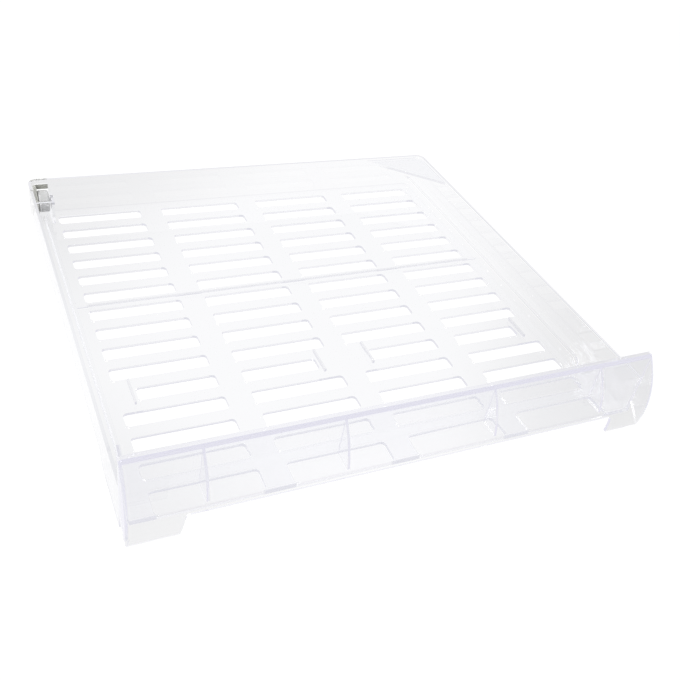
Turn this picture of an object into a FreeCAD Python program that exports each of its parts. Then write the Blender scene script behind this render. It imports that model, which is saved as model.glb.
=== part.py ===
"""Clear pull-out freezer drawer: slotted tray, bowed front panel and rear roller.

Millimetres. X runs to the right as seen from the front, Y to the rear, Z up.
The origin is the middle of the drawer's outline at the level of its underside.
"""
import FreeCAD, Part
import os
import Sketcher

doc = FreeCAD.newDocument("FreezerDrawer")

# Driving dimensions, in millimetres
DIMENSIONS = {
    # Tray shell
    "half_width": 225.0,
    "back_face": 216.0,
    "front_face": 216.0,
    "wall": 2.5,
    "rim_level": 39.0,
    "corner_round": 9.0,
    "runner_half": 213.0,
    "runner_level": 10.5,
    "front_wall": 196.5,
    "runner_end": 130.5,
    "runner_slope": 12.0,
    # Floor slots
    "slot_back": 202.5,
    "slot_pitch": 26.8,
    "slot_opening": 15.0,
    "slot_round": 3.5,
    "outer_slot_far": 200.0,
    "outer_slot_near": 117.0,
    "inner_slot_far": 94.8,
    "inner_slot_near": 10.7,
    "short_slot_far": 184.0,
    "short_slot_near": 26.5,
    # Low ribs on the floor
    "cross_rib_middle": 47.6,
    "cross_rib_half": 0.8,
    "cross_rib_rise": 2.2,
    "stub_rib_far": 187.5,
    "stub_rib_near": 23.5,
    "stub_rib_half": 0.8,
    "stub_rib_back": 56.5,
    "stub_rib_length": 28.0,
    "stub_rib_rise": 3.0,
    # Flat web across the rear right corner, level with the rim
    "web_width": 72.5,
    "web_depth": 62.0,
    "web_level": 34.5,
    "web_thick": 2.5,
    # Window, guard and ear for the roller at the rear left corner
    "window_outer": 220.4,
    "window_inner": 206.0,
    "window_front": 193.0,
    "window_top": 34.0,
    "guard_top": 26.0,
    "ear_thick": 2.5,
    "ear_round": 30.0,
    "ear_top": 25.0,
    # Bowed front panel
    "bow_middle": 142.5,
    "bow_level": 16.0,
    "bow_radius": 73.5,
    "panel_thick": 2.5,
    "lip_level": 65.7,
    "lip_thick": 2.6,
    "lip_back": 191.3,
    "lip_round": 1.2,
    "end_round": 3.0,
    "end_plate_base": 12.0,
    "apron_level": 20.6,
    "foot_inner": 185.0,
    "foot_inner_base": 187.5,
    "foot_round": 5.0,
    "inner_gusset": 64.0,
    "outer_gusset": 169.0,
    "gusset_thick": 2.0,
    "gusset_base": 27.6,
    # Roller, its bracket and its axle
    "roller_middle": 205.5,
    "roller_level": 20.0,
    "roller_radius": 10.5,
    "roller_outer": 217.1,
    "roller_inner": 207.1,
    "tyre_round": 1.6,
    "hub_radius": 4.2,
    "hub_stand": 0.5,
    "web_recess": 2.2,
    "recess_inner": 4.6,
    "recess_outer": 7.8,
    "axle_radius": 2.0,
    "fixed_gap": 0.03,
    "running_gap": 0.06,
    "axle_head_radius": 3.6,
    "axle_head_thick": 1.6,
    "axle_end": 202.6,
    "cheek_thick": 2.6,
    "bracket_gap": 0.1,
    "bracket_bar": 5.0,
    "bracket_bottom": 8.5,
    "bracket_front": 194.5,
}

# Lengths that follow from them
FORMULAS = {
    "inner_half": "=half_width - wall",
    "floor_half": "=runner_half - wall",
    "inner_round": "=corner_round - wall",
    "bow_at_base": "=bow_middle + sqrt(bow_radius ^ 2 - bow_level ^ 2)",
    "bow_at_lip": "=bow_middle + sqrt(bow_radius ^ 2 - (lip_level - bow_level) ^ 2)",
    "inner_bow": "=bow_radius - panel_thick",
    "inner_bow_at_base": "=bow_middle + sqrt(inner_bow ^ 2 - bow_level ^ 2)",
    "inner_bow_at_gusset": "=bow_middle + sqrt(inner_bow ^ 2 - (gusset_base - bow_level) ^ 2)",
    "gusset_top": "=bow_level + sqrt(inner_bow ^ 2 - (front_wall - bow_middle) ^ 2)",
    "lip_base": "=lip_level - lip_thick",
    "inner_bow_at_lip": "=bow_middle + sqrt(inner_bow ^ 2 - (lip_base - bow_level) ^ 2)",
}
sheet = doc.addObject("Spreadsheet::Sheet", "Sizes")
for row, (alias, content) in enumerate(list(DIMENSIONS.items()) + list(FORMULAS.items()), start=1):
    sheet.set("A%d" % row, alias)
    sheet.set("B%d" % row, str(content))
    sheet.setAlias("B%d" % row, alias)
doc.recompute()


def length_of(text):
    """Length of a sum such as 'half_width - wall', read from the sheet."""
    total = 0.0
    sign = 1.0
    for word in text.split():
        if word == "+":
            sign = 1.0
        elif word == "-":
            sign = -1.0
        elif word[0].isdigit():
            total += sign * float(word)
            sign = 1.0
        else:
            total += sign * float(sheet.get(word))
            sign = 1.0
    return total


def bound(text):
    """The same sum as an expression on the sheet's cells."""
    words = []
    for word in text.split():
        if word in "+-" or word[0].isdigit():
            words.append(word)
        else:
            words.append("Sizes." + word)
    return " ".join(words)


def origin_plane(body, role):
    """The body's own origin plane with this role."""
    for feature in body.Origin.OriginFeatures:
        if feature.Role == role:
            return feature
    raise ValueError("no plane " + role)


def new_sketch(body, name, role, offset="0"):
    """An empty sketch on an origin plane of the body, moved out along its normal."""
    sketch = body.newObject("Sketcher::SketchObject", name)
    sketch.AttachmentSupport = [(origin_plane(body, role), "")]
    sketch.MapMode = "FlatFace"
    if offset != "0":
        sketch.setExpression("AttachmentOffset.Base.z", bound(offset))
    return sketch


def pin_point(sketch, curve, end, across, up):
    """Fix one end of a curve at the two given sums, measured from the origin."""
    for kind, axis, text in (("DistanceX", -2, across), ("DistanceY", -1, up)):
        if text == "0":
            sketch.addConstraint(Sketcher.Constraint("PointOnObject", curve, end, axis))
            continue
        number = sketch.addConstraint(Sketcher.Constraint(kind, -1, 1, curve, end, length_of(text)))
        sketch.setExpression("Constraints[%d]" % number, bound(text))


def arc_between(start, end, radius, side):
    """Arc of this radius from start to end, its middle on the given side of the chord."""
    chord = end - start
    half = chord.Length / 2
    normal = FreeCAD.Vector(-chord.y, chord.x, 0).normalize()
    centre = start + chord * 0.5 - normal * side * (radius ** 2 - half ** 2) ** 0.5
    middle = centre + normal * side * radius
    return Part.Arc(start, middle, end)


def outline(sketch, corners):
    """Closed outline. A corner is (across, up), or (across, up, radius, side) where an
    arc of that radius leads on to the next corner, bulging to the left for side 1."""
    points = [FreeCAD.Vector(length_of(c[0]), length_of(c[1]), 0) for c in corners]
    count = len(corners)
    curves = []
    for index, corner in enumerate(corners):
        start = points[index]
        end = points[(index + 1) % count]
        if len(corner) == 2:
            curve = sketch.addGeometry(Part.LineSegment(start, end), False)
            curves.append((curve, 1, 2))
            continue
        arc = arc_between(start, end, length_of(corner[2]), corner[3])
        curve = sketch.addGeometry(arc, False)
        first = sketch.getPoint(curve, 1)
        forward = (first - start).Length < 1e-6
        curves.append((curve, 1, 2) if forward else (curve, 2, 1))
    for index, corner in enumerate(corners):
        curve, start_end, far_end = curves[index]
        following = curves[(index + 1) % count]
        sketch.addConstraint(
            Sketcher.Constraint("Coincident", curve, far_end, following[0], following[1]))
        pin_point(sketch, curve, start_end, corner[0], corner[1])
        if len(corner) > 2:
            radius = length_of(corner[2])
            number = sketch.addConstraint(Sketcher.Constraint("Radius", curve, radius))
            sketch.setExpression("Constraints[%d]" % number, bound(corner[2]))


def rectangle(sketch, left, right, low, high):
    outline(sketch, [(left, low), (right, low), (right, high), (left, high)])


def rounded_rectangle(sketch, left, right, low, high, radius):
    """Rectangle whose four corners are arcs."""
    inner_left = left + " + " + radius
    inner_right = right + " - " + radius
    inner_low = low + " + " + radius
    inner_high = high + " - " + radius
    outline(sketch, [
        (inner_left, low),
        (inner_right, low, radius, -1),
        (right, inner_low),
        (right, inner_high, radius, -1),
        (inner_right, high),
        (inner_left, high, radius, -1),
        (left, inner_high),
        (left, inner_low, radius, -1),
    ])


def rear_rounded(sketch, half, low, high, radius):
    """Rectangle of this half width whose two rear corners are arcs."""
    outline(sketch, [
        ("- " + half, low),
        (half, low),
        (half, high + " - " + radius, radius, -1),
        (half + " - " + radius, high),
        ("- " + half + " + " + radius, high, radius, -1),
        ("- " + half, high + " - " + radius),
    ])


def circle(sketch, across, up, radius):
    """Circle about the given point."""
    centre = FreeCAD.Vector(length_of(across), length_of(up), 0)
    axis = FreeCAD.Vector(0, 0, 1)
    curve = sketch.addGeometry(Part.Circle(centre, axis, length_of(radius)), False)
    pin_point(sketch, curve, 3, across, up)
    number = sketch.addConstraint(Sketcher.Constraint("Radius", curve, length_of(radius)))
    sketch.setExpression("Constraints[%d]" % number, bound(radius))


def volume(body):
    return 0.0 if body.Shape.isNull() else body.Shape.Volume


def pad(body, sketch, name, length, both_ways=False, down=False):
    """Add the sketch's outline as a block, and see that it grew the body."""
    before = volume(body)
    feature = body.newObject("PartDesign::Pad", name)
    feature.Profile = sketch
    feature.Midplane = both_ways
    feature.Reversed = down
    feature.setExpression("Length", bound(length))
    body.Tip = feature
    doc.recompute()
    if volume(body) <= before:
        raise RuntimeError(name + " adds nothing")
    return feature


def pocket(body, sketch, name, length, both_ways=False, up=False):
    """Cut the sketch's outline away, and see that it took something."""
    before = volume(body)
    feature = body.newObject("PartDesign::Pocket", name)
    feature.Profile = sketch
    feature.Midplane = both_ways
    feature.Reversed = up
    feature.setExpression("Length", bound(length))
    body.Tip = feature
    doc.recompute()
    if volume(body) >= before:
        raise RuntimeError(name + " cuts nothing")
    return feature


def fillet(body, name, radius, chosen):
    """Round the edges of the body's present shape for which chosen(edge) is true."""
    base = body.Tip
    names = []
    for number, edge in enumerate(base.Shape.Edges, start=1):
        if chosen(edge):
            names.append("Edge%d" % number)
    if not names:
        raise RuntimeError(name + " finds no edge")
    feature = body.newObject("PartDesign::Fillet", name)
    feature.Base = (base, names)
    feature.setExpression("Radius", bound(radius))
    body.Tip = feature
    doc.recompute()
    return feature


def new_body(label):
    body = doc.addObject("PartDesign::Body", label)
    body.Label = label
    return body


# Tray: outer blocks of the shell
tray = new_body("tray")

rim_sketch = new_sketch(tray, "RimOutline", "XY_Plane", "runner_level")
rear_rounded(rim_sketch, "half_width", "- front_wall", "back_face", "corner_round")
pad(tray, rim_sketch, "RimBlock", "rim_level - runner_level")

base_sketch = new_sketch(tray, "BaseOutline", "XY_Plane")
rear_rounded(base_sketch, "runner_half", "- front_wall", "back_face", "corner_round")
pad(tray, base_sketch, "BaseBlock", "runner_level")

nose_sketch = new_sketch(tray, "NoseSection", "YZ_Plane")
outline(nose_sketch, [
    ("- front_wall", "0"),
    ("- runner_end - runner_slope", "0"),
    ("- runner_end", "runner_level"),
    ("- front_wall", "runner_level"),
])
pad(tray, nose_sketch, "NoseBlock", "half_width + half_width", both_ways=True)

wall_sketch = new_sketch(tray, "FrontWallOutline", "XY_Plane")
rectangle(wall_sketch, "- half_width", "half_width", "- front_wall", "- front_wall + wall")
pad(tray, wall_sketch, "FrontWall", "lip_base")

# Tray: the hollow above the ledges, the hollow between them and the one at the front
upper_sketch = new_sketch(tray, "UpperHollowOutline", "XY_Plane", "runner_level + wall")
rear_rounded(upper_sketch, "inner_half", "- front_wall + wall", "back_face - wall", "inner_round")
pocket(tray, upper_sketch, "UpperHollow", "rim_level", up=True)

lower_sketch = new_sketch(tray, "LowerHollowOutline", "XY_Plane", "wall")
rear_rounded(lower_sketch, "floor_half", "- front_wall + wall", "back_face - wall", "inner_round")
pocket(tray, lower_sketch, "LowerHollow", "rim_level", up=True)

front_sketch = new_sketch(tray, "FrontHollowSection", "YZ_Plane")
outline(front_sketch, [
    ("- front_wall + wall", "wall"),
    ("- runner_end - runner_slope - wall", "wall"),
    ("- runner_end - wall", "runner_level + wall"),
    ("- runner_end - wall", "runner_level + wall + wall"),
    ("- front_wall + wall", "runner_level + wall + wall"),
])
pocket(tray, front_sketch, "FrontHollow", "half_width + half_width - wall - wall", both_ways=True)


def slot_row(name, high, low, columns):
    """One row of floor slots, cut through the floor."""
    sketch = new_sketch(tray, name + "Outline", "XY_Plane", "- wall")
    for left, right in columns:
        rounded_rectangle(sketch, left, right, low, high, "slot_round")
    return pocket(tray, sketch, name, "wall + wall + wall", up=True), sketch


def slot_rows(name, feature, sketch, count):
    """Repeat a row of slots towards the front."""
    pattern = tray.newObject("PartDesign::LinearPattern", name)
    pattern.Originals = [feature]
    pattern.Refine = False
    pattern.Direction = (sketch, ["V_Axis"])
    pattern.Reversed = True
    pattern.setExpression("Length", "Sizes.slot_pitch * %d" % (count - 1))
    pattern.Occurrences = count
    tray.Tip = pattern
    doc.recompute()


FULL_COLUMNS = [
    ("- outer_slot_far", "- outer_slot_near"),
    ("- inner_slot_far", "- inner_slot_near"),
    ("inner_slot_near", "inner_slot_far"),
    ("outer_slot_near", "outer_slot_far"),
]
SHORT_COLUMNS = [
    ("- short_slot_far", "- outer_slot_near"),
    ("- inner_slot_far", "- short_slot_near"),
    ("short_slot_near", "inner_slot_far"),
    ("outer_slot_near", "short_slot_far"),
]


def row_back(number):
    """Rear edge of a row of slots, counted from the back wall."""
    return " - ".join(["slot_back"] + ["slot_pitch"] * (number - 1))


# Tray: fifteen rows of four slots, the eleventh shorter, the last one as far as the front wall
rear_row, rear_sketch = slot_row("RearSlots", row_back(1), row_back(1) + " - slot_opening", FULL_COLUMNS)
slot_rows("RearSlotRows", rear_row, rear_sketch, 10)
slot_row("ShortSlots", row_back(11), row_back(11) + " - slot_opening", SHORT_COLUMNS)
near_row, near_sketch = slot_row("NearSlots", row_back(12), row_back(12) + " - slot_opening", FULL_COLUMNS)
slot_rows("NearSlotRows", near_row, near_sketch, 3)
slot_row("FrontSlots", row_back(15), "- front_wall + wall", FULL_COLUMNS)

# Tray: low ribs on the floor
cross_sketch = new_sketch(tray, "CrossRibOutline", "XY_Plane", "wall")
rectangle(cross_sketch, "- runner_half + wall", "runner_half - wall",
          "cross_rib_middle - cross_rib_half", "cross_rib_middle + cross_rib_half")
pad(tray, cross_sketch, "CrossRib", "cross_rib_rise")

stub_sketch = new_sketch(tray, "StubRibOutline", "XY_Plane", "wall")
for middle in ("- stub_rib_far", "- stub_rib_near", "stub_rib_near", "stub_rib_far"):
    rectangle(stub_sketch, middle + " - stub_rib_half", middle + " + stub_rib_half",
              "- stub_rib_back - stub_rib_length", "- stub_rib_back")
pad(tray, stub_sketch, "StubRibs", "stub_rib_rise")

# Tray: flat web across the rear right corner
web_sketch = new_sketch(tray, "CornerWebOutline", "XY_Plane", "web_level")
outline(web_sketch, [
    ("half_width - wall - web_width", "back_face - wall"),
    ("half_width - wall", "back_face - wall - web_depth"),
    ("half_width - wall", "back_face - wall - corner_round"),
    ("half_width - corner_round", "back_face - wall"),
])
pad(tray, web_sketch, "CornerWeb", "web_thick")

# Tray: window for the roller, the guard in front of it and the ear that carries the axle's inner end
window_sketch = new_sketch(tray, "RollerWindowOutline", "XY_Plane", "- wall")
rectangle(window_sketch, "- window_outer", "- window_inner", "window_front", "back_face + wall")
pocket(tray, window_sketch, "RollerWindow", "window_top + wall", up=True)

guard_sketch = new_sketch(tray, "GuardSection", "XZ_Plane", "- window_front")
outline(guard_sketch, [
    ("- inner_half", "runner_level + wall"),
    ("- floor_half", "runner_level + wall"),
    ("- floor_half", "wall"),
    ("- window_inner + ear_thick", "wall"),
    ("- window_inner + ear_thick", "guard_top"),
    ("- inner_half", "guard_top"),
])
pad(tray, guard_sketch, "Guard", "wall")

ear_sketch = new_sketch(tray, "EarSection", "YZ_Plane", "- window_inner")
outline(ear_sketch, [
    ("window_front - wall", "wall"),
    ("back_face - wall", "wall"),
    ("back_face - wall", "ear_top", "ear_round", -1),
    ("window_front - wall", "guard_top"),
])
pad(tray, ear_sketch, "Ear", "ear_thick")

ear_bore_sketch = new_sketch(tray, "EarBoreOutline", "YZ_Plane", "- window_inner - wall")
circle(ear_bore_sketch, "roller_middle", "roller_level", "axle_radius + fixed_gap")
pocket(tray, ear_bore_sketch, "EarBore", "ear_thick + wall + wall", up=True)

# Front panel: bowed plate, lip and end plates, as a block hollowed behind the bow
panel = new_body("front_panel")
side_sketch = new_sketch(panel, "PanelSection", "YZ_Plane")
outline(side_sketch, [
    ("- front_wall", "end_plate_base"),
    ("- front_wall", "lip_base"),
    ("- lip_back", "lip_base"),
    ("- lip_back", "lip_level"),
    ("- bow_at_lip", "lip_level", "bow_radius", -1),
    ("- bow_at_base", "0"),
    ("- inner_bow_at_base", "0"),
])
pad(panel, side_sketch, "PanelBlock", "half_width + half_width", both_ways=True)

hollow_sketch = new_sketch(panel, "BowHollowSection", "YZ_Plane")
outline(hollow_sketch, [
    ("- front_wall + wall", "- wall"),
    ("- front_wall + wall", "lip_base"),
    ("- inner_bow_at_lip", "lip_base", "inner_bow", -1),
    ("- inner_bow_at_base", "0"),
    ("- inner_bow_at_base", "- wall"),
])
pocket(panel, hollow_sketch, "BowHollow", "half_width + half_width - wall - wall", both_ways=True)

# Front panel: the apron's lower edge is raised between the two feet, whose inner sides splay
apron_sketch = new_sketch(panel, "ApronOutline", "XZ_Plane", "front_wall + wall")
outline(apron_sketch, [
    ("- foot_inner_base", "- wall"),
    ("foot_inner_base", "- wall"),
    ("foot_inner_base", "0"),
    ("foot_inner", "apron_level - foot_round", "foot_round", -1),
    ("foot_inner - foot_round", "apron_level"),
    ("- foot_inner + foot_round", "apron_level", "foot_round", -1),
    ("- foot_inner", "apron_level - foot_round"),
    ("- foot_inner_base", "0"),
])
pocket(panel, apron_sketch, "ApronCut", "front_face - front_wall + wall", up=True)


def end_corner(edge):
    """The outer corners where the bow meets the end plates."""
    box = edge.BoundBox
    at_end = box.XLength < 0.01 and abs(abs(box.XMin) - length_of("half_width")) < 0.01
    outer = box.YMin < - length_of("front_face") + 0.5 and box.ZLength > length_of("rim_level")
    return at_end and outer


def top_outline(edge):
    """The edges round the lip's top face."""
    return edge.BoundBox.ZMin > length_of("lip_level") - 0.01


fillet(panel, "EndCorners", "end_round", end_corner)
fillet(panel, "LipEdges", "lip_round", top_outline)

# Front panel: gussets between the bow, the tray's front wall and the lip
for side, middle in (("FarLeft", "- outer_gusset"), ("NearLeft", "- inner_gusset"),
                     ("NearRight", "inner_gusset"), ("FarRight", "outer_gusset")):
    gusset_sketch = new_sketch(panel, side + "GussetSection", "YZ_Plane", middle)
    outline(gusset_sketch, [
        ("- front_wall", "gusset_base"),
        ("- front_wall", "gusset_top", "inner_bow", -1),
        ("- inner_bow_at_gusset", "gusset_base"),
    ])
    pad(panel, gusset_sketch, side + "Gusset", "gusset_thick", both_ways=True)

# Roller bracket: an outer cheek and the bar that joins it to the window's top
bracket = new_body("roller_bracket")
cheek_sketch = new_sketch(bracket, "CheekSection", "YZ_Plane", "- window_outer + bracket_gap")
outline(cheek_sketch, [
    ("bracket_front", "bracket_bottom"),
    ("back_face", "bracket_bottom"),
    ("back_face", "window_top - bracket_gap"),
    ("roller_middle", "window_top - bracket_gap"),
    ("bracket_front", "roller_level"),
])
pad(bracket, cheek_sketch, "Cheek", "cheek_thick")

bar_sketch = new_sketch(bracket, "BarSection", "YZ_Plane", "- window_outer + bracket_gap")
rectangle(bar_sketch, "back_face - wall", "back_face",
          "window_top - bracket_gap - bracket_bar", "window_top - bracket_gap")
pad(bracket, bar_sketch, "Bar", "window_outer - window_inner - bracket_gap - bracket_gap")

cheek_bore_sketch = new_sketch(bracket, "CheekBoreOutline", "YZ_Plane", "- window_outer - wall")
circle(cheek_bore_sketch, "roller_middle", "roller_level", "axle_radius + fixed_gap")
pocket(bracket, cheek_bore_sketch, "CheekBore", "cheek_thick + wall + wall", up=True)

# Roller wheel
wheel = new_body("roller_wheel")
tyre_sketch = new_sketch(wheel, "TyreOutline", "YZ_Plane", "- roller_outer")
circle(tyre_sketch, "roller_middle", "roller_level", "roller_radius")
pad(wheel, tyre_sketch, "Tyre", "roller_outer - roller_inner")


def tyre_rim(edge):
    return abs(edge.BoundBox.YLength - length_of("roller_radius + roller_radius")) < 0.01 \
        and edge.BoundBox.XLength < 0.01


fillet(wheel, "TyreShoulders", "tyre_round", tyre_rim)
hub_sketch = new_sketch(wheel, "HubOutline", "YZ_Plane", "- roller_outer - hub_stand")
circle(hub_sketch, "roller_middle", "roller_level", "hub_radius")
pad(wheel, hub_sketch, "Hub", "roller_outer - roller_inner + hub_stand + hub_stand")
recess_sketch = new_sketch(wheel, "RecessOutline", "YZ_Plane", "- roller_inner")
circle(recess_sketch, "roller_middle", "roller_level", "recess_inner")
circle(recess_sketch, "roller_middle", "roller_level", "recess_outer")
pocket(wheel, recess_sketch, "Recess", "web_recess")
bore_sketch = new_sketch(wheel, "WheelBoreOutline", "YZ_Plane", "- roller_outer - wall")
circle(bore_sketch, "roller_middle", "roller_level", "axle_radius + running_gap")
pocket(wheel, bore_sketch, "WheelBore", "roller_outer - roller_inner + wall + wall", up=True)

# Axle: a headed pin from the cheek to the ear
axle = new_body("roller_axle")
shank_sketch = new_sketch(axle, "ShankOutline", "YZ_Plane", "- window_outer + bracket_gap")
circle(shank_sketch, "roller_middle", "roller_level", "axle_radius")
pad(axle, shank_sketch, "Shank", "window_outer - bracket_gap - axle_end")
head_sketch = new_sketch(axle, "HeadOutline", "YZ_Plane", "- window_outer + bracket_gap")
circle(head_sketch, "roller_middle", "roller_level", "axle_head_radius")
pad(axle, head_sketch, "Head", "axle_head_thick", down=True)

doc.recompute()

# Every object must be sound before anything is written
for item in doc.Objects:
    if "Invalid" in item.State or "Error" in item.State:
        raise RuntimeError("%s is %s" % (item.Label, item.State))

pieces = [tray, panel, bracket, wheel, axle]
for piece in pieces:
    if piece.Shape.isNull() or not piece.Shape.isValid() or len(piece.Shape.Solids) != 1:
        raise RuntimeError(piece.Label + " is not one valid solid")

os.makedirs("parts", exist_ok=True)
for piece in pieces:
    piece.Shape.exportStep("parts/%s.step" % piece.Label)
    box = piece.Shape.BoundBox
    print("%s %.1f x %.1f x %.1f mm, %.1f cm3" % (
        piece.Label, box.XLength, box.YLength, box.ZLength, piece.Shape.Volume / 1000))
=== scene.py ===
"""Looks of the clear freezer drawer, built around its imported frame. Metres, Z up, front faces -Y."""

from math import cos, radians, sin

import bmesh
import bpy
from mathutils import Matrix, Vector


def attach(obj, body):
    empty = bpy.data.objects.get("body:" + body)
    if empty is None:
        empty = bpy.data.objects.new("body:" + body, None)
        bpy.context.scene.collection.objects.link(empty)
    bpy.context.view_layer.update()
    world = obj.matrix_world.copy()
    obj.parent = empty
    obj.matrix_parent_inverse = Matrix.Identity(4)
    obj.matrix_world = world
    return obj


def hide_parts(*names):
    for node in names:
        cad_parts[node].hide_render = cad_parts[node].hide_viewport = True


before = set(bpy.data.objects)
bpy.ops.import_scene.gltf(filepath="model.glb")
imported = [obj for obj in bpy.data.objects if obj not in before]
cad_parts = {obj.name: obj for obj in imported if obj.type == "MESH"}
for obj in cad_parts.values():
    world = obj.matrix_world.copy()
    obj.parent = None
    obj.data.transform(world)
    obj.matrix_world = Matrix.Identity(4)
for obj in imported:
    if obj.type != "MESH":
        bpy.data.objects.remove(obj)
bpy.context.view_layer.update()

MM = 0.001

# Camera that matches the photograph: place in millimetres, angles in degrees
CAMERA_PLACE = (-299.2, -562.1, 473.8)
CAMERA_HEADING = 30.739
CAMERA_DIP = 38.21
CAMERA_ROLL = 11.162
PHOTO_WIDTH = 680
FOCAL_PIXELS = 835.32
SENSOR_WIDTH = 36.0
NEAREST_SEEN = 0.01
FARTHEST_SEEN = 50.0

# Heights on the drawer at which its colour and painted shade change, and the part of the floor whose ribs
# carry painted shade
FLOOR_TOP = 0.0028
RIB_TOP = 0.006
LIP_BASE = 0.0631
LEVEL_BLEND = 0.0006
RIBS_HALF_WIDTH = 0.2
RIBS_HALF_DEPTH = 0.19

# Clear plastic: refraction, depth of colour, and the turns after which light counts as caught inside and
# is painted as a glow
PLASTIC_IOR = 1.52
PLASTIC_DENSITY = 6.0
PLASTIC_ROUGHNESS = (0.01, 0.05)
PLASTIC_CLOUD_SCALE = 30.0
PLASTIC_WAVE_SCALE = 60.0
PLASTIC_WAVE_STRENGTH = 0.05
TURNS_IN_ALL = 9
TURNS_INSIDE = 2
SHADOW_TINT = (0.94, 0.94, 0.95)
# Painted shade: darker colours for the slots' front and rear edges and for the floor ribs
SLOT_EDGE_PAINTED_SHADE = (0.9, 0.9, 0.925)
SLOT_EDGE_FACING = 0.6
RIB_PAINTED_SHADE = (0.86, 0.86, 0.89)

# Opaque pieces: scales of their mottling, roughness and grain, and where the mottling turns dark and pale
MOTTLE_SCALE = 220.0
MOTTLE_DARK = 0.35
MOTTLE_PALE = 0.65
ROUGHNESS_SCALE = 400.0
ROUGHNESS_SPREAD = 0.06
GRAIN_SCALE = 900.0

# Range in which a soft noise really varies, and height of the bumps made from it
NOISE_LOW = 0.3
NOISE_HIGH = 0.7
BUMP_HEIGHT = 0.0002

# Edges of the rounded copies: width in millimetres and number of steps
TRAY_EDGES = (0.6, 3)
FRONT_EDGES = (0.4, 2)
SAME_POINT = 1e-6
FLAT_ANGLE = 0.5
SHARP_ANGLE = 30

# Floor: its half width and height, and its brightness seen directly, lit by lamps and seen through plastic
FLOOR_HALF = 4.0
FLOOR_LEVEL = -0.0005
FLOOR_COLOUR = (0.9, 0.9, 0.9)
FLOOR_ROUGHNESS = 0.8
FLOOR_SEEN = 0.95
FLOOR_LIT = 0.09
FLOOR_THROUGH = 0.985

# Painted shades on the floor seen through plastic: where each starts, where it is full, and how much it
# takes
SHADE_CORNERS = (0.16, 0.44, 0.12)
SHADE_LEFT = (0.1, 0.25, 0.03)
SHADE_RIGHT = (0.12, 0.27, 0.055)
SHADE_FRONT_LEFT = (0.24, 0.42, 0.08)

# World: colours at the horizon, a third of the way up and overhead
WORLD_HORIZON = (0.95, 0.95, 0.95)
WORLD_MIDDLE = (0.72, 0.73, 0.76)
WORLD_MIDDLE_HEIGHT = 0.35
WORLD_TOP = (0.87, 0.88, 0.9)
WHITE_LIGHT = (1.0, 1.0, 1.0)


def add_camera():
    heading = radians(CAMERA_HEADING)
    dip = radians(CAMERA_DIP)
    roll = radians(CAMERA_ROLL)
    forward = Vector((sin(heading) * cos(dip), cos(heading) * cos(dip), -sin(dip)))
    level_right = Vector((cos(heading), -sin(heading), 0.0))
    level_up = level_right.cross(forward)
    right = level_right * cos(roll) + level_up * sin(roll)
    up = level_up * cos(roll) - level_right * sin(roll)
    data = bpy.data.cameras.new("camera")
    data.sensor_width = SENSOR_WIDTH
    data.lens = FOCAL_PIXELS / PHOTO_WIDTH * SENSOR_WIDTH
    data.clip_start = NEAREST_SEEN
    data.clip_end = FARTHEST_SEEN
    camera = bpy.data.objects.new("camera", data)
    bpy.context.scene.collection.objects.link(camera)
    turn = Matrix((right, up, -forward)).transposed().to_4x4()
    camera.matrix_world = Matrix.Translation(Vector(CAMERA_PLACE) * MM) @ turn
    bpy.context.scene.camera = camera


# Shader building blocks
def new_material(name):
    material = bpy.data.materials.new(name)
    material.use_nodes = True
    return material, material.node_tree


def maths(tree, operation, *values):
    """A maths node's result; each value is a number or another node's output."""
    node = tree.nodes.new("ShaderNodeMath")
    node.operation = operation
    for socket, value in zip(node.inputs, values):
        if isinstance(value, (int, float)):
            socket.default_value = value
        else:
            tree.links.new(value, socket)
    return node.outputs["Value"]


def within(tree, value, low, high):
    """1 where value lies between low and high."""
    return maths(tree, "COMPARE", value, (low + high) / 2, (high - low) / 2)


def mapped(tree, value, low, high, start, end, interpolation="LINEAR"):
    """Goes from start to end as value goes from low to high."""
    node = tree.nodes.new("ShaderNodeMapRange")
    node.interpolation_type = interpolation
    node.inputs["From Min"].default_value = low
    node.inputs["From Max"].default_value = high
    node.inputs["To Min"].default_value = start
    node.inputs["To Max"].default_value = end
    tree.links.new(value, node.inputs["Value"])
    return node.outputs["Result"]


def parts(tree, kind):
    """X, Y and Z of one kind of texture coordinate."""
    place = tree.nodes.new("ShaderNodeTexCoord")
    split = tree.nodes.new("ShaderNodeSeparateXYZ")
    tree.links.new(place.outputs[kind], split.inputs["Vector"])
    return split.outputs


def noise_value(tree, scale):
    place = tree.nodes.new("ShaderNodeTexCoord")
    noise = tree.nodes.new("ShaderNodeTexNoise")
    noise.inputs["Scale"].default_value = scale
    tree.links.new(place.outputs["Object"], noise.inputs["Vector"])
    return noise.outputs["Fac"]


def ramp_colour(tree, value, stops):
    """Colour of a ramp through stops, each a position and a colour, the two ends first."""
    ramp = tree.nodes.new("ShaderNodeValToRGB")
    elements = ramp.color_ramp.elements
    for element, (position, colour) in zip(elements, stops):
        element.position = position
        element.color = (*colour, 1.0)
    for position, colour in stops[2:]:
        elements.new(position).color = (*colour, 1.0)
    tree.links.new(value, ramp.inputs["Fac"])
    return ramp.outputs["Color"]


def mixed_colour(tree, factor, first, second):
    """A mix of two colours; each is a tuple or another node's output."""
    mix = tree.nodes.new("ShaderNodeMix")
    mix.data_type = "RGBA"
    tree.links.new(factor, mix.inputs["Factor"])
    for socket, colour in ((mix.inputs["A"], first), (mix.inputs["B"], second)):
        if isinstance(colour, tuple):
            socket.default_value = (*colour, 1.0)
        else:
            tree.links.new(colour, socket)
    return mix.outputs["Result"]


def mixed_shader(tree, factor, first, second):
    node = tree.nodes.new("ShaderNodeMixShader")
    tree.links.new(factor, node.inputs["Fac"])
    tree.links.new(first, node.inputs[1])
    tree.links.new(second, node.inputs[2])
    return node.outputs["Shader"]


def link_noise(tree, scale, socket, low, high):
    """Lets a soft noise vary a socket between two values."""
    tree.links.new(mapped(tree, noise_value(tree, scale), NOISE_LOW, NOISE_HIGH, low, high), socket)


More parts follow.
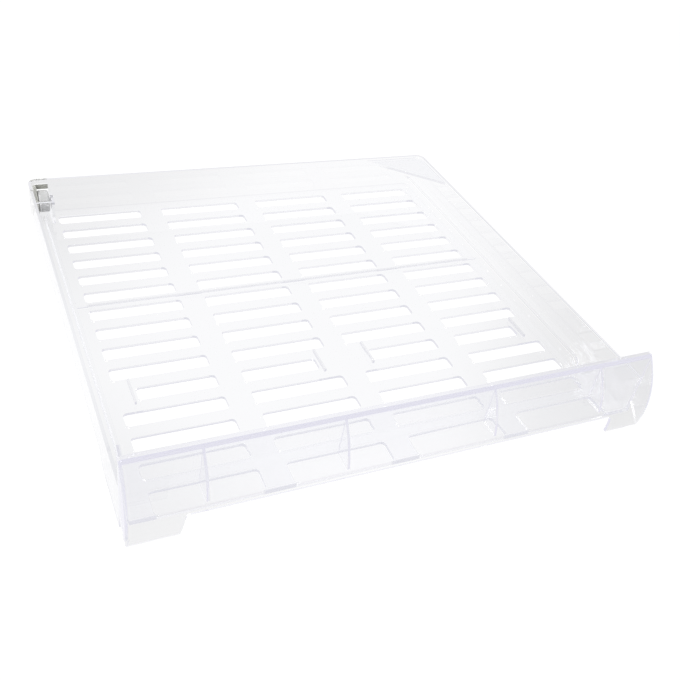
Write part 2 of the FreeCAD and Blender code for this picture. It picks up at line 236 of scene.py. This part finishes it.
def link_waves(tree, scale, strength, shader):
    """Slight unevenness of a moulded surface."""
    bump = tree.nodes.new("ShaderNodeBump")
    bump.inputs["Strength"].default_value = strength
    bump.inputs["Distance"].default_value = BUMP_HEIGHT
    tree.links.new(noise_value(tree, scale), bump.inputs["Height"])
    tree.links.new(bump.outputs["Normal"], shader.inputs["Normal"])


def link_level_colours(tree, level, below_and_above, socket):
    """One colour below a level and another above it."""
    height = parts(tree, "Object")["Z"]
    above = mapped(tree, height, level, level + LEVEL_BLEND, 0.0, 1.0)
    tree.links.new(mixed_colour(tree, above, *below_and_above), socket)


def paint_shade_where(tree, factor, colour):
    """Paints shade on the surface: another colour where factor is 1."""
    base = tree.nodes["Principled BSDF"].inputs["Base Color"]
    tree.links.new(mixed_colour(tree, factor, base.links[0].from_socket, colour), base)


# Materials
def clear_plastic(name, level, surface_tints_and_painted_shade, inside_tint, painted_glow_colours):
    """Clear styrene: refracting, faintly tinted on its surface and more so over a long path inside.
    Light that is still caught between its faces after many turns shows as a painted glow of its own
    colour, and lamps shine through it, so that it casts only a faint shadow. The pairs of colours hold
    below and above a level; the surface colours above it can carry painted shade."""
    material, tree = new_material(name)
    shader = tree.nodes["Principled BSDF"]
    shader.inputs["Transmission Weight"].default_value = 1.0
    shader.inputs["IOR"].default_value = PLASTIC_IOR
    link_noise(tree, PLASTIC_CLOUD_SCALE, shader.inputs["Roughness"], *PLASTIC_ROUGHNESS)
    link_waves(tree, PLASTIC_WAVE_SCALE, PLASTIC_WAVE_STRENGTH, shader)
    link_level_colours(tree, level, surface_tints_and_painted_shade, shader.inputs["Base Color"])
    absorption = tree.nodes.new("ShaderNodeVolumeAbsorption")
    absorption.inputs["Color"].default_value = (*inside_tint, 1.0)
    absorption.inputs["Density"].default_value = PLASTIC_DENSITY
    path = tree.nodes.new("ShaderNodeLightPath")
    long_way = maths(tree, "GREATER_THAN", path.outputs["Ray Depth"], TURNS_IN_ALL)
    many_turns = maths(tree, "GREATER_THAN", path.outputs["Glossy Depth"], TURNS_INSIDE)
    caught = maths(tree, "MAXIMUM", long_way, many_turns)
    # Painted glow: an emission that stands in for light still caught inside
    glow = tree.nodes.new("ShaderNodeEmission")
    link_level_colours(tree, level, painted_glow_colours, glow.inputs["Color"])
    passing = tree.nodes.new("ShaderNodeBsdfTransparent")
    passing.inputs["Color"].default_value = (*SHADOW_TINT, 1.0)
    seen = mixed_shader(tree, caught, shader.outputs["BSDF"], glow.outputs["Emission"])
    whole = mixed_shader(tree, path.outputs["Is Shadow Ray"], seen, passing.outputs["BSDF"])
    output = tree.nodes["Material Output"]
    tree.links.new(whole, output.inputs["Surface"])
    tree.links.new(absorption.outputs["Volume"], output.inputs["Volume"])
    return material


def painted_shade_on_slot_edges(tree):
    """1 on the floor's upright faces that look to the front or the rear, where shade is painted."""
    facing = maths(tree, "ABSOLUTE", parts(tree, "Normal")["Y"])
    upright = maths(tree, "GREATER_THAN", facing, SLOT_EDGE_FACING)
    low = maths(tree, "LESS_THAN", parts(tree, "Object")["Z"], FLOOR_TOP)
    return maths(tree, "MULTIPLY", upright, low)


def painted_shade_on_floor_ribs(tree):
    """1 on the low ribs that stand on the floor, where shade is painted."""
    place = parts(tree, "Object")
    across = within(tree, place["X"], -RIBS_HALF_WIDTH, RIBS_HALF_WIDTH)
    along = within(tree, place["Y"], -RIBS_HALF_DEPTH, RIBS_HALF_DEPTH)
    standing = within(tree, place["Z"], FLOOR_TOP, RIB_TOP)
    return maths(tree, "MULTIPLY", maths(tree, "MULTIPLY", across, along), standing)


def moulded(name, colour, dark, roughness, grain, metallic=0.0):
    """Opaque moulded plastic or drawn metal, a little uneven in colour and surface."""
    material, tree = new_material(name)
    shader = tree.nodes["Principled BSDF"]
    stops = ((MOTTLE_DARK, dark), (MOTTLE_PALE, colour))
    mottling = ramp_colour(tree, noise_value(tree, MOTTLE_SCALE), stops)
    tree.links.new(mottling, shader.inputs["Base Color"])
    smoothest = roughness - ROUGHNESS_SPREAD
    roughest = roughness + ROUGHNESS_SPREAD
    link_noise(tree, ROUGHNESS_SCALE, shader.inputs["Roughness"], smoothest, roughest)
    link_waves(tree, GRAIN_SCALE, grain, shader)
    shader.inputs["Metallic"].default_value = metallic
    return material


CLEAR = clear_plastic(
    "clear_plastic",
    level=FLOOR_TOP,
    surface_tints_and_painted_shade=((0.984, 0.985, 0.998), (0.986, 0.987, 0.997)),
    inside_tint=(0.82, 0.83, 0.9),
    painted_glow_colours=((0.79, 0.79, 0.84), (0.88, 0.88, 0.9)),
)
# Painted shade on the slots' front and rear edges and on the floor ribs
paint_shade_where(CLEAR.node_tree, painted_shade_on_slot_edges(CLEAR.node_tree), SLOT_EDGE_PAINTED_SHADE)
paint_shade_where(CLEAR.node_tree, painted_shade_on_floor_ribs(CLEAR.node_tree), RIB_PAINTED_SHADE)
# Above the lip's base the front's surface colour is darker and more violet, which is painted shade; below
# it is the plastic's own faint tint
FRONT = clear_plastic(
    "clear_front",
    level=LIP_BASE,
    surface_tints_and_painted_shade=((0.986, 0.986, 0.994), (0.945, 0.94, 0.975)),
    inside_tint=(0.8, 0.8, 0.94),
    painted_glow_colours=((0.81, 0.8, 0.88), (0.87, 0.865, 0.945)),
)
GREY = moulded("grey_plastic", (0.42, 0.42, 0.38), dark=(0.34, 0.34, 0.31), roughness=0.5, grain=0.25)
WHITE = moulded("white_plastic", (0.56, 0.56, 0.55), dark=(0.5, 0.5, 0.49), roughness=0.35, grain=0.1)
STEEL = moulded("pin_steel", (0.62, 0.62, 0.64), dark=(0.52, 0.52, 0.54), roughness=0.3, grain=0.1,
                metallic=1.0)


# Pieces
def dress(piece, material):
    piece.data.materials.clear()
    piece.data.materials.append(material)


def rounded_copy(node, name, body, material, edges):
    """A copy of a CAD node with its sharp edges rounded, shown in its place."""
    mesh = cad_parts[node].data.copy()
    work = bmesh.new()
    work.from_mesh(mesh)
    bmesh.ops.remove_doubles(work, verts=work.verts, dist=SAME_POINT)
    bmesh.ops.dissolve_limit(work, angle_limit=radians(FLAT_ANGLE), verts=work.verts, edges=work.edges)
    work.to_mesh(mesh)
    work.free()
    for stored in ("custom_normal", "sharp_edge", "sharp_face"):
        if stored in mesh.attributes:
            mesh.attributes.remove(mesh.attributes[stored])
    mesh.name = name
    for polygon in mesh.polygons:
        polygon.use_smooth = True
    piece = bpy.data.objects.new(name, mesh)
    bpy.context.scene.collection.objects.link(piece)
    width, segments = edges
    bevel = piece.modifiers.new("edges", "BEVEL")
    bevel.width = width * MM
    bevel.segments = segments
    bevel.limit_method = "ANGLE"
    bevel.angle_limit = radians(SHARP_ANGLE)
    bevel.harden_normals = True
    dress(piece, material)
    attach(piece, body)
    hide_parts(node)


rounded_copy("tray", "tray_shell", "drawer", CLEAR, TRAY_EDGES)
rounded_copy("front_panel", "front_panel_shell", "drawer", FRONT, FRONT_EDGES)
for node, material in (("roller_bracket", GREY), ("roller_wheel", WHITE), ("roller_axle", STEEL)):
    dress(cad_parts[node], material)


# Studio
def shade(tree, value, start, full, amount):
    """Rises softly from nothing to amount as value goes from start to full."""
    return mapped(tree, value, start, full, 0.0, amount, "SMOOTHSTEP")


def painted_pool_of_light(tree):
    """Painted light and shade on the floor: its brightness is full over its middle, with painted shade
    towards the rear left and front right corners, towards both sides and towards the front left corner."""
    place = parts(tree, "Object")
    left = maths(tree, "MULTIPLY", place["X"], -1.0)
    half_rear = maths(tree, "MULTIPLY", place["Y"], 0.5)
    corners = maths(tree, "ABSOLUTE", maths(tree, "SUBTRACT", place["X"], place["Y"]))
    total = shade(tree, corners, *SHADE_CORNERS)
    for value, range_and_amount in (
        (left, SHADE_LEFT),
        (maths(tree, "SUBTRACT", place["X"], half_rear), SHADE_RIGHT),
        (maths(tree, "SUBTRACT", left, place["Y"]), SHADE_FRONT_LEFT),
    ):
        total = maths(tree, "ADD", total, shade(tree, value, *range_and_amount))
    return maths(tree, "SUBTRACT", FLOOR_THROUGH, total)


def add_floor():
    """Pale floor that camera and mirror rays meet as white with a faint shadow. Rays that come through
    the clear plastic meet a painted pool of light instead: an emission with painted shade on it."""
    mesh = bpy.data.meshes.new("floor")
    square = ((-1, -1), (1, -1), (1, 1), (-1, 1))
    corners = [(x * FLOOR_HALF, y * FLOOR_HALF, FLOOR_LEVEL) for x, y in square]
    mesh.from_pydata(corners, [], [(0, 1, 2, 3)])
    floor = bpy.data.objects.new("floor", mesh)
    bpy.context.scene.collection.objects.link(floor)
    material, tree = new_material("floor_white")
    shader = tree.nodes["Principled BSDF"]
    shader.inputs["Base Color"].default_value = (*FLOOR_COLOUR, 1.0)
    shader.inputs["Roughness"].default_value = FLOOR_ROUGHNESS
    path = tree.nodes.new("ShaderNodeLightPath")
    glow = tree.nodes.new("ShaderNodeEmission")
    glow.inputs["Strength"].default_value = FLOOR_SEEN
    faint = tree.nodes.new("ShaderNodeBsdfDiffuse")
    faint.inputs["Color"].default_value = (FLOOR_LIT, FLOOR_LIT, FLOOR_LIT, 1.0)
    both = tree.nodes.new("ShaderNodeAddShader")
    tree.links.new(glow.outputs["Emission"], both.inputs[0])
    tree.links.new(faint.outputs["BSDF"], both.inputs[1])
    direct = maths(tree, "MAXIMUM", path.outputs["Is Camera Ray"], path.outputs["Is Glossy Ray"])
    seen = mixed_shader(tree, direct, shader.outputs["BSDF"], both.outputs["Shader"])
    # Painted shade: the floor's glow for see-through rays is dimmed by place
    pool = tree.nodes.new("ShaderNodeEmission")
    tree.links.new(painted_pool_of_light(tree), pool.inputs["Strength"])
    whole = mixed_shader(tree, path.outputs["Is Transmission Ray"], seen, pool.outputs["Emission"])
    tree.links.new(whole, tree.nodes["Material Output"].inputs["Surface"])
    mesh.materials.append(material)


def add_world():
    """White at the horizon and below, a soft grey studio above; camera and see-through rays meet white."""
    world = bpy.data.worlds.new("studio")
    world.use_nodes = True
    bpy.context.scene.world = world
    tree = world.node_tree
    stops = ((0.0, WORLD_HORIZON), (1.0, WORLD_TOP), (WORLD_MIDDLE_HEIGHT, WORLD_MIDDLE))
    studio = ramp_colour(tree, parts(tree, "Generated")["Z"], stops)
    path = tree.nodes.new("ShaderNodeLightPath")
    seen = maths(tree, "MAXIMUM", path.outputs["Is Camera Ray"], path.outputs["Is Transmission Ray"])
    tree.links.new(mixed_colour(tree, seen, studio, WHITE_LIGHT), tree.nodes["Background"].inputs["Color"])


def add_lamp(name, place, size, power):
    """A square lamp that looks at the drawer's middle."""
    data = bpy.data.lights.new(name, "AREA")
    data.size = size
    data.energy = power
    lamp = bpy.data.objects.new(name, data)
    lamp.location = place
    lamp.rotation_euler = (-Vector(place)).to_track_quat("-Z", "Y").to_euler()
    bpy.context.scene.collection.objects.link(lamp)


add_camera()
add_floor()
add_world()
add_lamp("key", place=(-1.0, -0.6, 1.4), size=0.9, power=14.0)
add_lamp("rim", place=(-1.4, 0.7, 1.1), size=0.8, power=8.0)
bpy.context.scene.view_settings.view_transform = "Standard"
